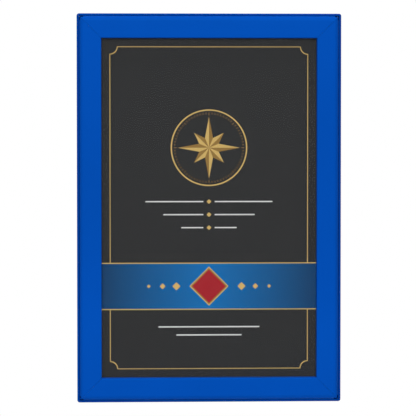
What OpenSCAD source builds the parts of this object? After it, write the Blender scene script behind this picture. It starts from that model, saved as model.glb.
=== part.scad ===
// Wall-mounted snap frame for one sheet. Four mitred base rails hold the sheet's back panel, and a sprung
// cover rail on each side swings open about its outer edge and snaps down onto the clear sheet.
// X runs across the frame, Z up it and -Y out of the wall. The origin is the middle of the back.

/* [Sheets] */
// Width of the poster, its back panel and its clear sheet
sheet_w = 279.4; // [180:0.1:600]
// Height of the poster, its back panel and its clear sheet
sheet_h = 431.8; // [250:0.1:900]
// Thickness of the back panel
panel_t = 2; // [1:0.25:3]
// Thickness of the poster
poster_t = 0.25; // [0.1:0.05:0.6]
// Thickness of the clear sheet
clear_t = 0.5; // [0.2:0.1:1]
// Strip of the sheets that each cover rail hides
overlap = 8; // [6:0.5:10]

/* [Rails] */
// Width of a rail, seen from the front
rail_w = 30; // [26:1:40]
// Depth of the frame from the wall to its face
rail_d = 15; // [14:0.5:20]
// Wall thickness of the extrusions
skin = 1.2; // [0.9:0.1:1.6]
// Thickness of the base rails' outer wall, whose top shows beside the cover rails
wall_t = 2.6; // [1.6:0.1:2.8]
// Radius of the cover rails' outer shoulder
shoulder_r = 5.9; // [5:0.1:6]
// Radius of a cover rail's inner edge
edge_r = 1.4; // [1.4:0.1:4]
// Radius of the frame's outer corners
corner_r = 3; // [1:0.5:3]

/* [Hinges and springs] */
// Radius of the bead that a cover rail turns on
bead_r = 1.8; // [1.5:0.1:2.2]
// Wall thickness of the hook around the bead
hook_t = 1; // [0.7:0.1:1.3]
// Furthest that a cover rail opens
travel = 90; // [50:5:90]
// Thickness of the spring strips
spring_t = 0.4; // [0.2:0.05:0.6]
// Width of the spring strips
spring_w = 14; // [8:1:30]
// Height of the bow in a spring strip
spring_bow = 0.6; // [0.3:0.1:1.2]

/* [Corner joints] */
// Thickness of the corner keys
key_t = 2.5; // [1.5:0.25:3]
// Length of a corner key's arms
key_arm = 44; // [35:1:60]
// Thread diameter of the set screws
screw_d = 4; // [3:0.5:6]

/* [Wall fixing] */
// Diameter of the holes for the wall screws
wall_hole_d = 4.5; // [3.5:0.5:6]

/* [Hidden] */
$fn = 96;
springs_across = 2;
springs_up = 3;

outer_w = sheet_w + 2 * (rail_w - overlap);
outer_h = sheet_h + 2 * (rail_w - overlap);
overrun = 5;
reach = 3 * rail_w;

// Cover hinge: a hook turns on the bead, inside the cover rail's shoulder. Its centre is hinge_u in from
// the frame's edge and hinge_w out from the wall
hinge_gap = 0.1;
hook_in = bead_r + hinge_gap;
hook_out = hook_in + hook_t;
shoulder_gap = 0.2;
hinge_u = wall_t + shoulder_gap + shoulder_r;
hinge_w = rail_d - shoulder_r;
post_t = 1;
stop_margin = 3;
hook_from = asin(post_t / 2 / hook_in) - 90 + stop_margin;
hook_to = 270 - asin(post_t / 2 / hook_in) - stop_margin - travel;

// Shoulder tail, which comes down behind the top of the base rail's outer wall
tail_to = 165;
wall_h = hinge_w + shoulder_r * sin(tail_to);
wall_chamfer = 1.2;
neck_w = 1.6;

// Base rail: ledge under the sheets, locating rib and the lips that hold the corner keys down
ledge_back = 1;
sheet_gap = 0.3;
rib_t = 1.2;
rib_u = rail_w - overlap - sheet_gap - rib_t;
key_lip = 1;
key_lip_t = 1;
key_gap = 0.1;
key_side_gap = 0.4;
key_lip_w = skin + key_t + 2 * key_gap;
key_u = hinge_u + post_t / 2 + key_side_gap;
key_w = rib_u - key_side_gap - key_u;
channel_u = key_u + key_w / 2;

// Spring strip: rolled ends, one in the base rail's corner and one between two lugs on the hook, of which
// the outer one stands just short of the hook's end
roll_r = 0.45;
seat_gap = 0.05;
foot_u = rib_u - roll_r - seat_gap;
foot_w = key_lip_w + key_lip_t + roll_r + seat_gap;
rib_over = 0.5;
rib_h = foot_w + roll_r + rib_over;
tip_r = hook_out + seat_gap + roll_r;
lug_t = 0.4;
lug_h = 0.35;
lug_root = 0.2;
lug_end = 0.15;
lug_turn = asin((roll_r + seat_gap + lug_t / 2) / tip_r);
tip_angle = hook_from + asin((lug_end + lug_t / 2) / hook_out) + lug_turn;
tip_u = hinge_u + tip_r * cos(tip_angle);
tip_w = hinge_w + tip_r * sin(tip_angle);

// Cover rail: inner lip and its foot, which press on the clear sheet
press_gap = 0.05;
lip_w = skin + panel_t + poster_t + clear_t + press_gap;
foot_l = 2.6;
foot_t = 0.9;

// Ends of the rails
base_mitre_gap = 0.05;
cover_mitre_gap = 0.12;
lip_swing = norm([rail_w - hinge_u, hinge_w - lip_w]) - (rail_w - hinge_u);
cover_undercut = lip_swing / (rail_d - lip_w);
hook_end_gap = 2.9;
hook_back = hinge_u + hook_out + hook_end_gap;
tail_end_gap = 0.4;
tail_back = hinge_u + (shoulder_r - skin) * cos(tail_to + travel) + tail_end_gap;
tail_relief_w = hinge_w + shoulder_r * sin(45);

// Set screws and wall holes
thread_gap = 0.05;
key_hole_share = 0.72;
screw_over = 0.6;
socket_af = 2;
socket_depth = 1.6;

// Sides and corners of the frame: name, turn about Y, length and half the distance across
SIDES = [
    ["bottom", 0, outer_w, outer_h / 2, springs_across],
    ["left", 90, outer_h, outer_w / 2, springs_up],
    ["top", 180, outer_w, outer_h / 2, springs_across],
    ["right", 270, outer_h, outer_w / 2, springs_up]
];
CORNERS = [["bottom_left", 0, 0], ["bottom_right", 1, 0], ["top_left", 0, 1], ["top_right", 1, 1]];

// Place along a rail of one of its springs, which share the length between the corner keys
function spring_x(length, count, i) = (i - (count + 1) / 2) * (length - 2 * key_arm) / count;

// Place along a rail of the wall hole between a corner key and the nearest spring
function end_hole_x(length, count) = (length / 2 - key_arm + spring_x(length, count, count) + spring_w / 2) / 2;

// A rail is drawn with X along it, Y in from the frame's edge and Z out from the wall, then set on its side
module on_side(side) {
    rotate([0, side[1], 0]) translate([0, 0, -side[3]]) rotate([90, 0, 0]) children();
}

module extruded(length) {
    rotate([90, 0, 90]) linear_extrude(height = length, center = true) children();
}

// What lies flat on the wall is drawn from the front, with Y up, and stands out from w by t
module standing(w, t) {
    translate([0, -w, 0]) rotate([90, 0, 0]) linear_extrude(height = t) children();
}

// Corner parts are drawn for the bottom left and mirrored to their corner
module on_corner(corner) {
    mirror([corner[1], 0, 0]) mirror([0, 0, corner[2]]) translate([-outer_w / 2, 0, -outer_h / 2]) children();
}

module wedge(radius, from, to) {
    far = 2 * radius;
    polygon([
        [0, 0],
        far * [cos(from), sin(from)],
        far * [cos((from + to) / 2), sin((from + to) / 2)],
        far * [cos(to), sin(to)]
    ]);
}

module band(outer, inner) {
    difference() {
        circle(outer);
        circle(inner);
    }
}

module band_between(outer, inner, from, to) {
    intersection() {
        band(outer, inner);
        wedge(outer, from, to);
    }
}

// Everything past a rail's mitre at both ends, leaning back by undercut for each unit of depth
module past_mitres(length, gap, undercut) {
    for (end = [0, 1])
        mirror([end, 0, 0])
            translate([length / 2 - gap, 0, rail_d])
                rotate([0, atan(undercut / sqrt(2)), 45])
                    translate([0, -reach, -reach]) cube([reach, 2 * reach, 2 * reach]);
}

module past_corners(length) {
    for (end = [0, 1])
        mirror([end, 0, 0])
            translate([length / 2 - corner_r, corner_r, -overrun])
                linear_extrude(height = rail_d + 2 * overrun)
                    difference() {
                        translate([0, -corner_r - overrun]) square(corner_r + overrun);
                        circle(corner_r);
                    }
}

module base_profile() {
    square([rail_w - ledge_back, skin]);
    polygon([[0, 0], [wall_t, 0], [wall_t, wall_h], [wall_chamfer, wall_h], [0, wall_h - wall_chamfer]]);
    translate([hinge_u - post_t / 2, 0]) square([post_t, hinge_w]);
    translate([hinge_u, hinge_w]) circle(bead_r);
    translate([hinge_u, key_lip_w]) square([post_t / 2 + key_lip, key_lip_t]);
    translate([rib_u, 0]) square([rib_t, rib_h]);
    translate([rib_u - key_lip, key_lip_w]) square([key_lip + rib_t, key_lip_t]);
}

module base_rail(side) {
    length = side[2];
    end_x = end_hole_x(length, side[4]);
    holes = side[1] % 180 == 0 ? [0] : [-end_x, end_x];
    color([0.02, 0.28, 0.66])
        on_side(side)
            difference() {
                extruded(length) base_profile();
                past_mitres(length, base_mitre_gap, 0);
                past_corners(length);
                for (x = holes)
                    translate([x, channel_u, -overrun]) cylinder(d = wall_hole_d, h = skin + 2 * overrun);
            }
}

module cover_shell_profile() {
    translate([hinge_u, hinge_w]) band_between(shoulder_r, shoulder_r - skin, 90, tail_to);
    translate([hinge_u, rail_d - skin]) square([rail_w - edge_r - hinge_u, skin]);
    translate([rail_w - edge_r, rail_d - edge_r]) band_between(edge_r, edge_r - skin, 0, 90);
    translate([rail_w - skin, lip_w]) square([skin, rail_d - edge_r - lip_w]);
    translate([rail_w - foot_l, lip_w]) square([foot_l, foot_t]);
}

module lug(angle) {
    rotate(angle) translate([hook_out - lug_root, -lug_t / 2]) square([lug_root + lug_h, lug_t]);
}

module cover_hook_profile() {
    translate([hinge_u, hinge_w]) {
        difference() {
            band(hook_out, hook_in);
            wedge(hook_out, hook_to - 360, hook_from);
        }
        lug(tip_angle - lug_turn);
        lug(tip_angle + lug_turn);
        translate([-neck_w / 2, hook_in + hook_t / 2])
            square([neck_w, shoulder_r - skin / 2 - hook_in - hook_t / 2]);
    }
}

module cover_rail(side) {
    length = side[2];
    color([0.02, 0.31, 0.71])
        on_side(side)
            difference() {
                union() {
                    extruded(length) cover_shell_profile();
                    extruded(length - 2 * hook_back) cover_hook_profile();
                }
                past_mitres(length, cover_mitre_gap, cover_undercut);
                for (end = [0, 1])
                    mirror([end, 0, 0])
                        translate([length / 2 - tail_back, 0, 0])
                            cube([tail_back + overrun, hinge_u, tail_relief_w]);
            }
}

// Bowed strip between its foot in the base rail and its tip on the hook, both rolled
module spring_profile() {
    chord = norm([tip_u - foot_u, tip_w - foot_w]);
    bow_r = (chord * chord / 4 + spring_bow * spring_bow) / 2 / spring_bow;
    half_turn = asin(chord / 2 / bow_r);
    translate([foot_u, foot_w]) circle(roll_r);
    translate([tip_u, tip_w]) circle(roll_r);
    translate([foot_u, foot_w])
        rotate(atan2(foot_w - tip_w, foot_u - tip_u))
            translate([-chord / 2, spring_bow - bow_r])
                band_between(bow_r + spring_t / 2, bow_r - spring_t / 2, 90 - half_turn, 90 + half_turn);
}

module spring(side, i) {
    color([0.72, 0.73, 0.75])
        on_side(side)
            translate([spring_x(side[2], side[4], i), 0, 0]) extruded(spring_w) spring_profile();
}

// Places along a key's two arms of their set screws
function screw_places() = [[key_arm * key_hole_share, channel_u], [channel_u, key_arm * key_hole_share]];

module corner_key(corner) {
    color([0.66, 0.68, 0.70])
        on_corner(corner)
            standing(skin + key_gap, key_t)
                difference() {
                    translate([key_u, key_u]) {
                        square([key_arm - key_u, key_w]);
                        square([key_w, key_arm - key_u]);
                    }
                    for (place = screw_places()) translate(place) circle(d = screw_d);
                }
}

module key_screws(corner) {
    screw_l = key_gap + key_t + screw_over;
    color([0.35, 0.36, 0.38])
        on_corner(corner)
            difference() {
                standing(skin, screw_l)
                    for (place = screw_places()) translate(place) circle(r = screw_d / 2 - thread_gap);
                standing(skin + screw_l - socket_depth, socket_depth + overrun)
                    for (place = screw_places()) translate(place) circle(d = socket_af / cos(30), $fn = 6);
            }
}

module sheet(w, t) {
    standing(w, t) square([sheet_w, sheet_h], center = true);
}

module back_panel() {
    color([0.90, 0.90, 0.89]) sheet(skin, panel_t);
}

module poster() {
    color([0.20, 0.20, 0.20]) sheet(skin + panel_t, poster_t);
}

module clear_sheet() {
    color([0.85, 0.90, 0.95, 0.25]) sheet(skin + panel_t + poster_t, clear_t);
}

for (side = SIDES) {
    base_rail(side);
    cover_rail(side);
    for (i = [1:side[4]])
        spring(side, i);
}
for (corner = CORNERS) {
    corner_key(corner);
    key_screws(corner);
}
back_panel();
poster();
clear_sheet();
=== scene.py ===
import math
import bmesh
import bpy
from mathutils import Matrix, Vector
from mathutils.geometry import delaunay_2d_cdt


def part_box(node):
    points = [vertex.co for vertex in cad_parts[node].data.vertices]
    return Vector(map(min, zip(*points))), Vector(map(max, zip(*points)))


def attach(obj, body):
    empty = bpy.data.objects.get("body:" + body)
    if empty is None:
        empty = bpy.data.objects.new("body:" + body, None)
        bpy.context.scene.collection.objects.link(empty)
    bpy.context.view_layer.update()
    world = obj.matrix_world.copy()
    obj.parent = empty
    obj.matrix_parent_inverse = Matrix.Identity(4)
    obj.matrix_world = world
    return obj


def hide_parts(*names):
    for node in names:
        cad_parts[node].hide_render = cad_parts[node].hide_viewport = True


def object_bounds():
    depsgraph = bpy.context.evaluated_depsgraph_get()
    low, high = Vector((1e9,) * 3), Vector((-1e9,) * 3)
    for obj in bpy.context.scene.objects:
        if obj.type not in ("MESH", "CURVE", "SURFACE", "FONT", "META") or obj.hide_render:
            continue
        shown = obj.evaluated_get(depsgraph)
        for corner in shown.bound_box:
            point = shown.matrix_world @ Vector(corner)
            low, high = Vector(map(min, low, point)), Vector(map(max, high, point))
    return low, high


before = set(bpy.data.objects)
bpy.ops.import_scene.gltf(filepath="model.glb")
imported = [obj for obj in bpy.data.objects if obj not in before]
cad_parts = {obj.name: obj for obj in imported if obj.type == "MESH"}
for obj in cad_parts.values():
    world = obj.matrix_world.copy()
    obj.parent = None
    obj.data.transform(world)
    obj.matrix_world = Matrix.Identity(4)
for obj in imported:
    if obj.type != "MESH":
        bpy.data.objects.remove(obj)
cad_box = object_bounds()

bl_info = {
    "name": "Snap Frame",
    "version": (1, 0, 0),
    "blender": (4, 5, 0),
    "location": "3D View > Sidebar > Snap Frame",
    "description": "Finishes a snap frame, prints its poster and sets it in a studio",
    "category": "Object",
}

MM = 0.001

BOX_LO, BOX_HI = (Vector(corner) for corner in cad_box)
OUTER_W = BOX_HI.x - BOX_LO.x
OUTER_H = BOX_HI.z - BOX_LO.z
FACE_Y = BOX_LO.y
POSTER_LO, POSTER_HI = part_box("poster")
WINDOW_W = -2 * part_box("cover_rail_left")[1].x
WINDOW_H = -2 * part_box("cover_rail_bottom")[1].z

# Most of a noise's values lie between these
NOISE_LO, NOISE_HI = 0.3, 0.7


# Settings

def colour(name, description, default):
    return bpy.props.FloatVectorProperty(
        name=name, description=description, default=default, subtype="COLOR", size=3, min=0, max=1)


def length(name, description, default):
    return bpy.props.FloatProperty(
        name=name, description=description, default=default, unit="LENGTH", subtype="DISTANCE",
        min=0, precision=5)


def offset(name, description, default):
    return bpy.props.FloatProperty(
        name=name, description=description, default=default, unit="LENGTH", subtype="DISTANCE",
        precision=5)


def share(name, description, default):
    return bpy.props.FloatProperty(
        name=name, description=description, default=default, subtype="FACTOR", min=0, max=1)


def angle(name, description, default):
    """default is in degrees."""
    return bpy.props.FloatProperty(
        name=name, description=description, default=math.radians(default), unit="ROTATION",
        subtype="ANGLE")


class RailPaint(bpy.types.PropertyGroup):
    """Blue paint on the extrusions, with bands of painted sheen and a darker copy on the base rails as
    painted shade, and the bare metal of their sawn ends.
    """
    cover: colour("Cover rails", "Paint on the rails that swing open", (0.001, 0.0785, 0.472))
    # The base rails' paint is a darker copy of the cover rails' paint: painted shade under the cover
    # rails.
    base: colour("Base rails", "Paint on the rails on the wall", (0.0, 0.049, 0.335))
    tint: colour("Gloss tint", "Colour of the paint's own gloss", (0.06, 0.37, 1.0))
    roughness: share("Roughness", "Roughness of the paint", 0.42)
    gloss: share("Gloss", "Strength of the paint's gloss", 0.08)
    grain: length("Grain", "Distance between the bumps in the paint", 0.6 * MM)
    grain_height: length("Grain height", "Height of the bumps in the paint", 0.012 * MM)
    grain_tone: share("Grain tone", "How much the paint's tone and roughness vary over a bump", 0.08)
    variation: share("Variation", "How much the paint's tone varies along a rail", 0.03)
    # Painted sheen: the paint is made lighter and darker in bands up the frame, lightest at the highest
    # band.
    bands: length("Painted sheen bands", "Distance up the frame between two lighter bands of paint", 370 * MM)
    sheen_band_top: offset("Highest band", "Height of the highest lighter band", 220 * MM)
    sheen_band_depth: share("Depth of the bands", "How far the bands lighten and darken the paint", 0.04)
    bare: colour("Sawn ends", "Bare aluminium where the rails are cut to a mitre", (0.74, 0.75, 0.76))
    bare_roughness: share("Sawn ends' roughness", "Roughness of the bare aluminium", 0.34)
    saw_line: length("Saw marks", "Distance between the lines left by the saw", 0.35 * MM)
    saw_height: length("Saw mark height", "Height of the lines left by the saw", 0.012 * MM)
    chips: length("Chipped edge", "How far in from a mitre the paint is chipped", 0.06 * MM)


class MetalFinish(bpy.types.PropertyGroup):
    """Bare and plated steel inside the rails."""
    spring: colour("Springs", "Polished spring strip", (0.40, 0.42, 0.45))
    zinc: colour("Corner keys", "Zinc plating", (0.50, 0.52, 0.53))
    oxide: colour("Set screws", "Black oxide", (0.028, 0.028, 0.031))
    spring_roughness: share("Spring roughness", "Roughness of the springs", 0.24)
    zinc_roughness: share("Zinc roughness", "Roughness of the plating", 0.38)
    oxide_roughness: share("Oxide roughness", "Roughness of the set screws", 0.45)
    line: length("Rolling lines", "Distance between the lines left by rolling", 0.12 * MM)
    line_height: length("Rolling line height", "Height of the lines left by rolling", 0.002 * MM)
    spangle: length("Spangle", "Size of the zinc's crystals", 2.4 * MM)


class SheetFinish(bpy.types.PropertyGroup):
    """Back panel and clear sheet."""
    styrene: colour("Back panel", "White polystyrene", (0.83, 0.83, 0.81))
    clear: colour("Clear sheet", "Tint of the clear sheet", (0.10, 0.11, 0.12))
    clear_alpha: share("Clear sheet's body", "How much of the sheet shows", 0.05)
    clear_roughness: share("Clear sheet's roughness", "Roughness of the clear sheet", 0.10)


class PosterPrint(bpy.types.PropertyGroup):
    """Inks and layout of the printed poster, measured from the middle of the window."""
    ground: colour("Ground", "Charcoal ground", (0.0215, 0.0215, 0.0215))
    paper: colour("Paper", "White of the paper and of the rules", (0.86, 0.86, 0.85))
    gold_light: colour("Light gold", "Lit facets and rings", (0.72, 0.50, 0.16))
    gold_dark: colour("Dark gold", "Shaded facets", (0.33, 0.19, 0.045))
    band_dark: colour("Dark blue", "Ends of the band", (0.0, 0.048, 0.145))
    band_light: colour("Light blue", "Middle of the band", (0.0, 0.170, 0.515))
    red: colour("Red", "Lozenge on the band", (0.42, 0.012, 0.02))
    border_inset: length("Border inset", "From the window's edge to the gold border", 10 * MM)
    border_line: length("Border line", "Width of the gold border", 0.9 * MM)
    border_notch: length("Border notch", "Radius of the notch in each corner", 9 * MM)
    star_z: length("Star height", "Height of the star's middle", 74 * MM)
    star_r: length("Star radius", "Radius of the star's long points", 38 * MM)
    ring_r: length("Ring radius", "Outer radius of the ring around the star", 47 * MM)
    rule_h: length("Rule width", "Width of the white rules", 1.5 * MM)
    band_z: offset("Band height", "Height of the band's middle", -96 * MM)
    band_h: length("Band width", "From the band's lower to its upper edge", 58 * MM)
    gloss: share("Gloss", "Strength of the inks' gloss", 0.06)


class Studio(bpy.types.PropertyGroup):
    """Camera, lamps and background."""
    distance: length("Camera distance", "From the face of the frame to the camera", 3.0)
    across: length("View width", "Width that the picture takes in at the face", 0.5084)
    aim_x: offset("Aim across", "From the frame's middle to the middle of the picture", -1.74 * MM)
    aim_z: offset("Aim up", "From the frame's middle up to the middle of the picture", 0.57 * MM)
    azimuth: angle("Azimuth", "Camera to the right of straight on", -2.6)
    elevation: angle("Elevation", "Camera above straight on", 2.4)
    fill: share("Fill", "Light from all round, as a share of full light on the face", 0.05)
    front: share("Front lamp", "Light of the lamp beside the camera, which gives no sheen", 0.77)
    sheen: share("Sheen lamp", "Light of the lamp above the camera, which gives only sheen", 0.50)
    high: share("High lamp", "Light of the lamp over the frame, which gives no sheen", 0.54)
    rear: share("Rear lamps", "Light of each of the two lamps behind the frame", 0.55)
    lamp_distance: length("Lamp distance", "From the frame to the lamps", 5.0)
    lamp_size: length("Lamp size", "Side of a square lamp", 2.0)
    floor_drop: length("Floor drop", "From the frame's lower edge to the floor", 0.36)
    floor_size: length("Floor size", "Side of the floor", 3.2)
    floor_fade: length("Floor fade", "Width of the rim that fades into the background", 1.0)
    floor_tone: colour("Floor", "Pale floor", (0.88, 0.88, 0.87))
    floor_bounce: share("Floor bounce", "Share of the floor's light that reaches the frame", 0.40)


SETTINGS = {
    "snap_rails": RailPaint, "snap_metals": MetalFinish, "snap_sheets": SheetFinish,
    "snap_poster": PosterPrint, "snap_studio": Studio,
}


# Shader nodes

def fill(tree, node, inputs):
    """Sets a node's sockets to values, or feeds them with other nodes' outputs."""
    for label, value in inputs.items():
        if isinstance(value, bpy.types.NodeSocket):
            tree.links.new(value, node.inputs[label])
        else:
            node.inputs[label].default_value = value


def put(tree, kind, inputs=None, **options):
    """Adds a shader node, sets its options and fills its sockets."""
    made = tree.nodes.new("ShaderNode" + kind)
    for name, value in options.items():
        setattr(made, name, value)
    fill(tree, made, inputs or {})
    return made


def maths(tree, operation, *values):
    return put(tree, "Math", dict(enumerate(values)), operation=operation).outputs[0]


def mixed(tree, factor, a, b):
    """Colour a where factor is 0, and b where it is 1."""
    return put(tree, "Mix", {0: factor, 6: a, 7: b}, data_type="RGBA").outputs[2]


def ranged(tree, value, low, high, to_low=0.0, to_high=1.0):
    """Goes from to_low to to_high as value goes from low to high."""
    inputs = {"Value": value, "From Min": low, "From Max": high, "To Min": to_low, "To Max": to_high}
    return put(tree, "MapRange", inputs).outputs["Result"]


def place(tree):
    """Place on the frame at rest, in metres."""
    return put(tree, "TexCoord").outputs["Object"]


def axes(tree, vector):
    """The three parts of a vector, under X, Y and Z."""
    return put(tree, "SeparateXYZ", {"Vector": vector}).outputs


def noise(tree, size, detail=2.0, **inputs):
    """Noise whose lumps are about size metres across."""
    inputs = {"Vector": place(tree), "Scale": 1 / size, "Detail": detail, **inputs}
    return put(tree, "TexNoise", inputs).outputs["Fac"]


def varied(tree, value, fac, low, high):
    """value times low where a noise is low, and times high where it is high."""
    return ranged(tree, fac, NOISE_LO, NOISE_HI, value * low, value * high)


def relief(tree, height):
    """Normals of a surface with this height in metres."""
    return put(tree, "Bump", {"Height": height, "Distance": 1.0}).outputs["Normal"]


def effect(name, inputs, outputs):
    """A new node group. Returns it with its inputs' sockets and its output node."""
    tree = bpy.data.node_groups.new(name, "ShaderNodeTree")
    for label, (kind, default) in inputs.items():
        socket = tree.interface.new_socket(name=label, in_out="INPUT", socket_type="NodeSocket" + kind)
        socket.default_value = default
    for label, kind in outputs.items():
        tree.interface.new_socket(name=label, in_out="OUTPUT", socket_type="NodeSocket" + kind)
    return tree, tree.nodes.new("NodeGroupInput").outputs, tree.nodes.new("NodeGroupOutput")


def tone_drift(name):
    """Slow drift in a colour's brightness, over a hand's width, with a finer one inside it."""
    tree, given, out = effect(
        name, {"Colour": ("Color", (0.5, 0.5, 0.5, 1)), "Amount": ("Float", 0.03)}, {"Colour": "Color"})
    patch, spread = 90 * MM, 4.0
    centred = maths(tree, "SUBTRACT", noise(tree, patch, detail=3.0), 0.5)
    swing = maths(tree, "MULTIPLY", centred, spread)
    brightness = maths(tree, "MULTIPLY_ADD", swing, given["Amount"], 1.0)
    drifted = put(tree, "HueSaturation", {"Value": brightness, "Color": given["Colour"]})
    fill(tree, out, {"Colour": drifted.outputs["Color"]})
    return tree


def orange_peel(name):
    """Fine pebbling of sprayed paint or moulded plastic: height in metres, and grain from 0 to 1."""
    tree, given, out = effect(
        name, {"Size": ("Float", 0.6 * MM), "Height": ("Float", 0.006 * MM)},
        {"Height": "Float", "Grain": "Float"})
    scale = maths(tree, "DIVIDE", 1.0, given["Size"])
    bumps = put(tree, "TexNoise", {"Vector": place(tree), "Scale": scale, "Detail": 1.0}).outputs["Fac"]
    fill(tree, out, {
        "Height": maths(tree, "MULTIPLY", bumps, given["Height"]),
        "Grain": ranged(tree, bumps, NOISE_LO, NOISE_HI)})
    return tree


def fine_lines(name):
    """Fine lines left by rolling or sawing, which run straight across the direction that is given."""
    tree, given, out = effect(
        name, {"Across": ("Vector", (0, 0, 1)), "Spacing": ("Float", 0.12 * MM)}, {"Fac": "Float"})
    reach = put(tree, "VectorMath", {0: place(tree), 1: given["Across"]}, operation="DOT_PRODUCT")
    step = maths(tree, "DIVIDE", reach.outputs["Value"], given["Spacing"])
    lines = put(tree, "TexNoise", {"W": step, "Detail": 2.0, "Roughness": 0.6}, noise_dimensions="1D")
    fill(tree, out, {"Fac": lines.outputs["Fac"]})
    return tree


def mitre_cuts(name):
    """Where a rail is cut to a mitre: its sawn end, and the paint just short of that, which chips."""
    tree, given, out = effect(name, {"Chipped": ("Float", 0.06 * MM)}, {"Sawn": "Float", "Worn": "Float"})
    spot = axes(tree, place(tree))
    facing = axes(tree, put(tree, "TexCoord").outputs["Normal"])

    # A sawn end faces along the frame's diagonal, inward in one of x and z and outward in the other
    corner = maths(tree, "SIGN", maths(tree, "MULTIPLY", spot["X"], spot["Z"]))
    slant = maths(tree, "MULTIPLY", maths(tree, "MULTIPLY", facing["X"], facing["Z"]), corner)
    least_slant = 0.3
    sawn = maths(tree, "LESS_THAN", slant, -least_slant)

    in_x = maths(tree, "SUBTRACT", OUTER_W / 2, maths(tree, "ABSOLUTE", spot["X"]))
    in_z = maths(tree, "SUBTRACT", OUTER_H / 2, maths(tree, "ABSOLUTE", spot["Z"]))
    uneven = maths(tree, "ABSOLUTE", maths(tree, "SUBTRACT", in_x, in_z))
    from_mitre = maths(tree, "MULTIPLY", uneven, math.sqrt(0.5))
    chip, chip_lo, chip_hi = 1.5 * MM, 0.5, 0.8
    lumps = ranged(tree, noise(tree, chip, detail=4.0), chip_lo, chip_hi)
    chipped = maths(tree, "LESS_THAN", from_mitre, maths(tree, "MULTIPLY", lumps, given["Chipped"]))
    fill(tree, out, {"Sawn": sawn, "Worn": maths(tree, "MAXIMUM", sawn, chipped)})
    return tree


EFFECTS = {
    "Tone drift": tone_drift, "Orange peel": orange_peel, "Fine lines": fine_lines,
    "Mitre cuts": mitre_cuts,
}


def use(tree, effect_name, **inputs):
    """Places an effect in a material, and makes it the first time. Returns its outputs."""
    group = bpy.data.node_groups.get(effect_name) or EFFECTS[effect_name](effect_name)
    made = put(tree, "Group", node_tree=group)
    fill(tree, made, {label.capitalize(): value for label, value in inputs.items()})
    return made.outputs


def toned(tree, tone, amount):
    return use(tree, "Tone drift", colour=tone, amount=amount)["Colour"]


def pebbled(tree, size, height):
    return relief(tree, use(tree, "Orange peel", size=size, height=height)["Height"])


def surface(name):
    """A new material. Returns it with its node tree and its Principled shader."""
    material = bpy.data.materials.new(name)
    material.use_nodes = True
    return material, material.node_tree, material.node_tree.nodes["Principled BSDF"]


def rgba(value):
    return (*value, 1.0)


# Materials

def paint_material(name, tone, setup):
    """Sprayed paint with painted sheen in bands, and bare metal where a rail is sawn to a mitre and where
    its paint is chipped.
    """
    material, tree, shader = surface(name)
    # Painted sheen: the paint is lightened and darkened in bands up the frame, lightest at the highest
    # band.
    height = axes(tree, place(tree))["Z"]
    above_band = maths(tree, "SUBTRACT", height, setup.sheen_band_top)
    turns = maths(tree, "DIVIDE", above_band, setup.bands / (2 * math.pi))
    bands = maths(tree, "MULTIPLY_ADD", maths(tree, "COSINE", turns), setup.sheen_band_depth, 1.0)

    peel = use(tree, "Orange peel", size=setup.grain, height=setup.grain_height)
    low, high = 1 - setup.grain_tone, 1 + setup.grain_tone
    # The paint's brightness carries the painted sheen bands and the grain of the peel.
    brightness = maths(tree, "MULTIPLY", bands, ranged(tree, peel["Grain"], 0, 1, low, high))
    sprayed = put(tree, "HueSaturation", {"Value": brightness, "Color": rgba(tone)}).outputs["Color"]
    painted = toned(tree, sprayed, setup.variation)
    satin = ranged(tree, peel["Grain"], 0, 1, setup.roughness * low, setup.roughness * high)

    cuts = use(tree, "Mitre cuts", chipped=setup.chips)
    saw = use(tree, "Fine lines", across=(1, 0, 1), spacing=setup.saw_line)["Fac"]
    marks = maths(tree, "MULTIPLY", saw, setup.saw_height)
    fill(tree, shader, {
        "Base Color": mixed(tree, cuts["Worn"], painted, rgba(setup.bare)),
        "Metallic": cuts["Worn"],
        "Roughness": ranged(tree, cuts["Worn"], 0, 1, satin, setup.bare_roughness),
        "Normal": relief(tree, mixed(tree, cuts["Sawn"], peel["Height"], marks)),
        "Specular IOR Level": setup.gloss,
        "Specular Tint": rgba(setup.tint)})
    return material


def spring_material(name, across, setup):
    """Rolled spring steel, whose lines run straight across the direction that is given."""
    material, tree, shader = surface(name)
    lines = use(tree, "Fine lines", across=across, spacing=setup.line)["Fac"]
    lines_lo, lines_hi = 0.2, 0.8
    smooth, rough = setup.spring_roughness * 0.8, setup.spring_roughness * 1.3
    fill(tree, shader, {
        "Base Color": toned(tree, rgba(setup.spring), amount=0.05),
        "Metallic": 1.0,
        "Roughness": ranged(tree, lines, lines_lo, lines_hi, smooth, rough),
        "Normal": relief(tree, maths(tree, "MULTIPLY", lines, setup.line_height))})
    return material


def zinc_material(setup):
    """Zinc plating with a spangle of lighter and darker crystals."""
    material, tree, shader = surface("zinc plating")
    crystals = put(tree, "TexVoronoi", {"Vector": place(tree), "Scale": 1 / setup.spangle})
    grey = put(tree, "SeparateColor", {0: crystals.outputs["Color"]}).outputs[0]
    dark_zinc = rgba(0.72 * part for part in setup.zinc)
    most_dark = 0.35
    plated = mixed(tree, ranged(tree, grey, 0, 1, 0, most_dark), rgba(setup.zinc), dark_zinc)
    smooth, rough = setup.zinc_roughness * 0.85, setup.zinc_roughness * 1.2
    fill(tree, shader, {
        "Base Color": toned(tree, plated, amount=0.04),
        "Metallic": 1.0,
        "Roughness": ranged(tree, grey, 0, 1, smooth, rough),
        "Normal": pebbled(tree, size=0.5 * MM, height=0.004 * MM)})
    return material


def oxide_material(setup):
    """Black oxide on steel."""
    material, tree, shader = surface("black oxide")
    fill(tree, shader, {
        "Base Color": toned(tree, rgba(setup.oxide), amount=0.10),
        "Metallic": 0.85,
        "Roughness": varied(tree, setup.oxide_roughness, noise(tree, 0.8 * MM), low=0.85, high=1.15),
        "Normal": pebbled(tree, size=0.3 * MM, height=0.004 * MM)})
    return material


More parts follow.
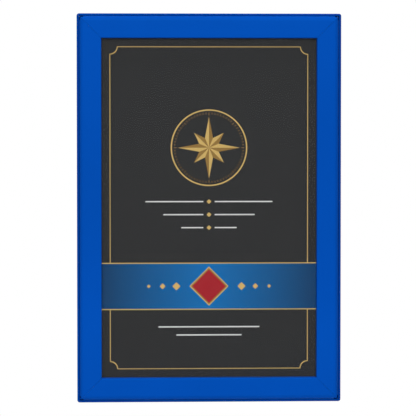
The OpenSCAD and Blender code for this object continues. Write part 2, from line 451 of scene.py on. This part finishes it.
def styrene_material(setup):
    """Lightly scuffed white polystyrene."""
    material, tree, shader = surface("white styrene")
    scuffs = noise(tree, 30 * MM, detail=6.0, Roughness=0.7)
    smooth, scuffed = 0.42, 0.56
    fill(tree, shader, {
        "Base Color": toned(tree, rgba(setup.styrene), amount=0.015),
        "Roughness": ranged(tree, scuffs, NOISE_LO, NOISE_HI, smooth, scuffed),
        "Normal": pebbled(tree, size=1.2 * MM, height=0.01 * MM)})
    return material


def clear_material(setup):
    """Clear plastic with faint smears."""
    material, tree, shader = surface("clear sheet")
    smears = noise(tree, 60 * MM, detail=4.0)
    fill(tree, shader, {
        "Base Color": rgba(setup.clear),
        "Alpha": setup.clear_alpha,
        "Roughness": varied(tree, setup.clear_roughness, smears, low=0.8, high=1.3)})
    return material


def ink_material(name, ink, gloss, roughness=0.46, middle=None):
    """Ink on paper. It fades to the colour middle at the middle of the sheet, if that is given."""
    material, tree, shader = surface(name)
    printed = rgba(ink)
    if middle is not None:
        aside = maths(tree, "ABSOLUTE", axes(tree, place(tree))["X"])
        printed = mixed(tree, ranged(tree, aside, 0, WINDOW_W / 2, 1, 0), printed, rgba(middle))
    fibres = noise(tree, 0.5 * MM, detail=3.0)
    fibre_height = 0.002 * MM
    fill(tree, shader, {
        "Base Color": toned(tree, printed, amount=0.01),
        "Roughness": varied(tree, roughness, fibres, low=0.94, high=1.06),
        "Normal": relief(tree, maths(tree, "MULTIPLY", fibres, fibre_height)),
        "Specular IOR Level": gloss})
    return material


def nodes(*starts):
    """Names of the CAD nodes that start with one of these."""
    return [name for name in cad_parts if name.startswith(starts)]


def dress(names, material):
    """Gives CAD nodes a material in every slot."""
    for name in names:
        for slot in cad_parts[name].material_slots:
            slot.material = material


# Poster

INKS = ("paper", "ground", "gold_light", "gold_dark", "band", "red")


def circle(z, radius, steps=96):
    turns = (2 * math.pi * i / steps for i in range(steps))
    return [(radius * math.sin(turn), z + radius * math.cos(turn)) for turn in turns]


def rectangle(x0, z0, x1, z1):
    return [(x0, z0), (x1, z0), (x1, z1), (x0, z1)]


def lozenge(x, z, half):
    return [(x - half, z), (x, z - half), (x + half, z), (x, z + half)]


def notched(half_w, half_h, notch, steps=12):
    """A rectangle around the middle, with a quarter circle cut out of each corner."""
    points = []
    for sx, sz, start in ((1, 1, 270), (-1, 1, 0), (-1, -1, 90), (1, -1, 180)):
        turns = [math.radians(start - 90 * i / steps) for i in range(steps + 1)]
        points += [(sx * half_w + notch * math.cos(turn), sz * half_h + notch * math.sin(turn))
                   for turn in turns]
    return points


def border_print(design):
    """A thin gold border with notched corners."""
    half_w, half_h = WINDOW_W / 2 - design.border_inset, WINDOW_H / 2 - design.border_inset
    line, notch = design.border_line, design.border_notch
    return [("gold_light", notched(half_w, half_h, notch)),
            ("ground", notched(half_w - line, half_h - line, notch))]


def ring_print(design):
    """A gold ring with short ticks inside it, every ninth of them longer."""
    z = design.star_z
    ring_w, ticks, tick_gap, tick_l, tick_w = 1.6 * MM, 72, 2.2 * MM, 2.2 * MM, 0.7 * MM
    regions = [("gold_light", circle(z, design.ring_r)), ("ground", circle(z, design.ring_r - ring_w))]
    outer = design.ring_r - ring_w - tick_gap
    for i in range(ticks):
        turn = 2 * math.pi * i / ticks
        out, side = Vector((math.sin(turn), math.cos(turn))), Vector((math.cos(turn), -math.sin(turn)))
        inner = outer - tick_l * (1 if i % 9 else 1.6)
        corners = [out * outer + side * tick_w / 2, out * outer - side * tick_w / 2,
                   out * inner - side * tick_w / 2, out * inner + side * tick_w / 2]
        regions.append(("gold_dark", [(corner.x, corner.y + z) for corner in corners]))
    return regions


def star_print(design, points=8):
    """A star whose points are long and short in turn, each with a lit and a shaded facet."""
    z, long_r, short_r, waist_r = design.star_z, design.star_r, design.star_r * 0.68, design.star_r * 0.34
    regions = []
    for i in range(points):
        middle = 2 * math.pi * i / points
        tip_r = short_r if i % 2 else long_r
        tip = (tip_r * math.sin(middle), z + tip_r * math.cos(middle))
        for ink, way in (("gold_light", -1), ("gold_dark", 1)):
            turn = middle + way * math.pi / points
            waist = (waist_r * math.sin(turn), z + waist_r * math.cos(turn))
            regions.append((ink, [(0.0, z), tip, waist]))
    return regions


def rule_print(design, z, half, gap=0.0):
    """A white rule, in two parts with a gold lozenge between them where a gap is given."""
    low, high = z - design.rule_h / 2, z + design.rule_h / 2
    if not gap:
        return [("paper", rectangle(-half, low, half, high))]
    return [("paper", rectangle(-half, low, -gap, high)), ("paper", rectangle(gap, low, half, high)),
            ("gold_light", lozenge(0, z, 3 * MM))]


def band_print(design):
    """A blue band from edge to edge with gold lines along it, a red lozenge and rows of small ones."""
    z, edge, line = design.band_z, POSTER_HI.x, 1.2 * MM
    low, high = z - design.band_h / 2, z + design.band_h / 2
    regions = [("band", rectangle(-edge, low, edge, high))]
    for line_z in (low, high - line):
        regions.append(("gold_light", rectangle(-edge, line_z, edge, line_z + line)))
    for ink, half in (("gold_light", 24), ("gold_dark", 22.4), ("red", 20.5)):
        regions.append((ink, lozenge(0, z, half * MM)))
    for way in (-1, 1):
        for x, half in ((40, 5), (57, 3.6), (74, 2.4)):
            regions.append(("gold_light", lozenge(way * x * MM, z, half * MM)))
    return regions


def poster_print(design):
    """(ink, outline) for each printed region. A later one is printed over the earlier ones."""
    edge_w, edge_h = POSTER_HI.x, POSTER_HI.z
    regions = [("ground", rectangle(-edge_w, -edge_h, edge_w, edge_h))]
    regions += border_print(design) + ring_print(design) + star_print(design)
    for z, half in ((8, 78), (-8, 56), (-24, 34)):
        regions += rule_print(design, z * MM, half * MM, gap=7 * MM)
    regions += band_print(design)
    for z, half in ((-146, 62), (-156, 40)):
        regions += rule_print(design, z * MM, half * MM)
    return regions


def anticlockwise(outline):
    doubled = sum(x0 * z1 - x1 * z0 for (x0, z0), (x1, z1) in zip(outline, outline[1:] + outline[:1]))
    return outline if doubled > 0 else outline[::-1]


def poster_mesh(design, front_y, back_y):
    """A thin sheet whose front is cut along the outlines of the print."""
    regions = poster_print(design)
    corners, outlines = [], []
    for _, outline in regions:
        outlines.append(list(range(len(corners), len(corners) + len(outline))))
        corners += [Vector(point) for point in anticlockwise(outline)]
    keep_inside, least_gap = 1, 1e-7
    spots, _, faces, _, _, sources = delaunay_2d_cdt(corners, [], outlines, keep_inside, least_gap)

    sheet = bmesh.new()
    verts = [sheet.verts.new((spot.x, front_y, spot.y)) for spot in spots]
    for face, source in zip(faces, sources):
        made = sheet.faces.new([verts[i] for i in face])
        made.material_index = INKS.index(regions[max(source)][0])
    rim = [edge for edge in sheet.edges if edge.is_boundary]
    for grown in bmesh.ops.extrude_edge_only(sheet, edges=rim)["geom"]:
        if isinstance(grown, bmesh.types.BMVert):
            grown.co.y = back_y
    bmesh.ops.holes_fill(sheet, edges=[edge for edge in sheet.edges if edge.is_boundary], sides=0)
    bmesh.ops.recalc_face_normals(sheet, faces=sheet.faces)
    # The extrusion gives its faces in no fixed order
    for index, face in enumerate(sorted(sheet.faces, key=lambda face: face.calc_center_median()[:])):
        face.index = index
    sheet.faces.sort()

    mesh = bpy.data.meshes.new("printed_poster")
    sheet.to_mesh(mesh)
    sheet.free()
    return mesh


# Studio

def add_to_scene(name, data):
    made = bpy.data.objects.new(name, data)
    bpy.context.scene.collection.objects.link(made)
    return made


def aim(thing, spot, target):
    thing.location = spot
    thing.rotation_mode = "QUATERNION"
    thing.rotation_quaternion = (target - spot).to_track_quat("-Z", "Y")


def bearing(azimuth, elevation):
    """Unit vector from the frame towards a place in front of it."""
    return Vector((math.sin(azimuth) * math.cos(elevation), -math.cos(azimuth) * math.cos(elevation),
                   math.sin(elevation)))


def add_camera(setup):
    lens = bpy.data.cameras.new("camera")
    lens.lens = lens.sensor_width * setup.distance / setup.across
    camera = add_to_scene("camera", lens)
    target = Vector((setup.aim_x, FACE_Y, setup.aim_z))
    aim(camera, target + bearing(setup.azimuth, setup.elevation) * setup.distance, target)
    bpy.context.scene.camera = camera


def add_lamp(name, level, setup, azimuth, elevation, diffuse=True, sheen=True):
    """A square lamp. level is its light on a white surface turned to it, and the angles are degrees."""
    light = bpy.data.lights.new(name, "AREA")
    light.size = setup.lamp_size
    light.energy = level * (math.pi * setup.lamp_distance) ** 2
    lamp = add_to_scene(name, light)
    lamp.visible_camera = False
    lamp.visible_diffuse = diffuse
    lamp.visible_glossy = sheen
    aim(lamp, bearing(math.radians(azimuth), math.radians(elevation)) * setup.lamp_distance, Vector())


def seen_directly(tree):
    """1 where the background is seen, also in gloss or through glass, and 0 where it only gives light."""
    ray = put(tree, "LightPath").outputs
    seen = maths(tree, "MAXIMUM", ray["Is Camera Ray"], ray["Is Glossy Ray"])
    return maths(tree, "MAXIMUM", seen, ray["Is Transmission Ray"])


def add_world(setup):
    """A white background, which gives less light than it shows."""
    world = bpy.data.worlds.new("studio")
    world.use_nodes = True
    bpy.context.scene.world = world
    tree = world.node_tree
    strength = ranged(tree, seen_directly(tree), 0, 1, setup.fill, 1.0)
    fill(tree, tree.nodes["Background"], {"Color": (1, 1, 1, 1), "Strength": strength})


def add_floor(setup):
    """Pale paper on the floor, which gives less light than it shows and fades out at its rim."""
    half = setup.floor_size / 2
    height = BOX_LO.z - setup.floor_drop
    mesh = bpy.data.meshes.new("floor")
    mesh.from_pydata([(-half, -half, height), (half, -half, height), (half, half, height),
                      (-half, half, height)], [], [(0, 1, 2, 3)])
    floor = add_to_scene("floor", mesh)
    material, tree, shader = surface("floor paper")
    dim = rgba(setup.floor_bounce * part for part in setup.floor_tone)
    paper = toned(tree, rgba(setup.floor_tone), amount=0.01)
    flat = put(tree, "VectorMath", {0: place(tree), 1: (1, 1, 0)}, operation="MULTIPLY")
    reach = put(tree, "VectorMath", {0: flat.outputs["Vector"]}, operation="LENGTH")
    fill(tree, shader, {
        "Base Color": mixed(tree, seen_directly(tree), dim, paper),
        "Alpha": ranged(tree, reach.outputs["Value"], half - setup.floor_fade, half, 1, 0),
        "Roughness": 0.85})
    mesh.materials.append(material)


# Operators

class SNAPFRAME_OT_paint_rails(bpy.types.Operator):
    """Paints the cover rails and the base rails under them"""
    bl_idname = "snapframe.paint_rails"
    bl_label = "Paint Rails"

    def execute(self, context):
        setup = context.scene.snap_rails
        dress(nodes("cover_rail_"), paint_material("cover paint", setup.cover, setup))
        # The base rails take the same paint, darker, as painted shade under the cover rails.
        dress(nodes("base_rail_"), paint_material("base paint with painted shade", setup.base, setup))
        return {"FINISHED"}


class SNAPFRAME_OT_finish_springs(bpy.types.Operator):
    """Gives the spring strips the finish of rolled steel"""
    bl_idname = "snapframe.finish_springs"
    bl_label = "Finish Springs"

    def execute(self, context):
        setup = context.scene.snap_metals
        up, across = (0, 0, 1), (1, 0, 0)
        dress(nodes("spring_left_", "spring_right_"), spring_material("spring steel up", up, setup))
        dress(nodes("spring_bottom_", "spring_top_"),
              spring_material("spring steel across", across, setup))
        return {"FINISHED"}


class SNAPFRAME_OT_finish_corners(bpy.types.Operator):
    """Plates the corner keys and blackens their set screws"""
    bl_idname = "snapframe.finish_corners"
    bl_label = "Finish Corner Keys"

    def execute(self, context):
        setup = context.scene.snap_metals
        dress(nodes("corner_key_"), zinc_material(setup))
        dress(nodes("key_screws_"), oxide_material(setup))
        return {"FINISHED"}


class SNAPFRAME_OT_finish_sheets(bpy.types.Operator):
    """Finishes the back panel and the clear sheet"""
    bl_idname = "snapframe.finish_sheets"
    bl_label = "Finish Sheets"

    def execute(self, context):
        setup = context.scene.snap_sheets
        dress(["back_panel"], styrene_material(setup))
        dress(["clear_sheet"], clear_material(setup))
        return {"FINISHED"}


class SNAPFRAME_OT_print_poster(bpy.types.Operator):
    """Prints the poster, which takes the place of the plain one"""
    bl_idname = "snapframe.print_poster"
    bl_label = "Print Poster"

    def execute(self, context):
        design = context.scene.snap_poster
        inks = {
            "paper": ink_material("white paper", design.paper, design.gloss),
            "ground": ink_material("charcoal ink", design.ground, design.gloss),
            "gold_light": ink_material("light gold ink", design.gold_light, design.gloss, roughness=0.38),
            "gold_dark": ink_material("dark gold ink", design.gold_dark, design.gloss, roughness=0.38),
            "band": ink_material("blue ink", design.band_dark, design.gloss, middle=design.band_light),
            "red": ink_material("red ink", design.red, design.gloss),
        }
        air = 0.03 * MM
        mesh = poster_mesh(design, POSTER_LO.y + air, POSTER_HI.y)
        for name in INKS:
            mesh.materials.append(inks[name])
        poster = add_to_scene("printed_poster", mesh)
        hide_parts("poster")
        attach(poster, "frame")
        return {"FINISHED"}


class SNAPFRAME_OT_build_studio(bpy.types.Operator):
    """Adds the camera, the lamps, the background and the floor"""
    bl_idname = "snapframe.build_studio"
    bl_label = "Build Studio"

    def execute(self, context):
        setup = context.scene.snap_studio
        add_camera(setup)
        add_lamp("front lamp", setup.front, setup, azimuth=-5, elevation=8, sheen=False)
        add_lamp("sheen lamp", setup.sheen, setup, azimuth=0, elevation=25, diffuse=False)
        add_lamp("high lamp", setup.high, setup, azimuth=0, elevation=80, sheen=False)
        add_lamp("left rear lamp", setup.rear, setup, azimuth=-150, elevation=15)
        add_lamp("right rear lamp", setup.rear, setup, azimuth=150, elevation=15)
        add_world(setup)
        add_floor(setup)
        context.scene.view_settings.view_transform = "Standard"
        return {"FINISHED"}


OPERATORS = (
    SNAPFRAME_OT_paint_rails, SNAPFRAME_OT_finish_springs, SNAPFRAME_OT_finish_corners,
    SNAPFRAME_OT_finish_sheets, SNAPFRAME_OT_print_poster, SNAPFRAME_OT_build_studio,
)


class SNAPFRAME_PT_panel(bpy.types.Panel):
    """Lists the steps that dress the frame, with the sizes and colours that they use"""
    bl_idname = "SNAPFRAME_PT_panel"
    bl_label = "Snap Frame"
    bl_space_type = "VIEW_3D"
    bl_region_type = "UI"
    bl_category = "Snap Frame"

    def draw(self, context):
        for operator in OPERATORS:
            self.layout.operator(operator.bl_idname)
        for name, group in SETTINGS.items():
            box = self.layout.box()
            box.label(text=group.__doc__)
            for label in group.__annotations__:
                box.prop(getattr(context.scene, name), label)


def register():
    for group in SETTINGS.values():
        bpy.utils.register_class(group)
    for operator in OPERATORS:
        bpy.utils.register_class(operator)
    bpy.utils.register_class(SNAPFRAME_PT_panel)
    for name, group in SETTINGS.items():
        setattr(bpy.types.Scene, name, bpy.props.PointerProperty(type=group))


def unregister():
    for name in SETTINGS:
        delattr(bpy.types.Scene, name)
    bpy.utils.unregister_class(SNAPFRAME_PT_panel)
    for made in (*reversed(OPERATORS), *reversed(SETTINGS.values())):
        bpy.utils.unregister_class(made)


def main():
    register()
    bpy.ops.snapframe.paint_rails()
    bpy.ops.snapframe.finish_springs()
    bpy.ops.snapframe.finish_corners()
    bpy.ops.snapframe.finish_sheets()
    bpy.ops.snapframe.print_poster()
    bpy.ops.snapframe.build_studio()


if __name__ == "__main__":
    main()
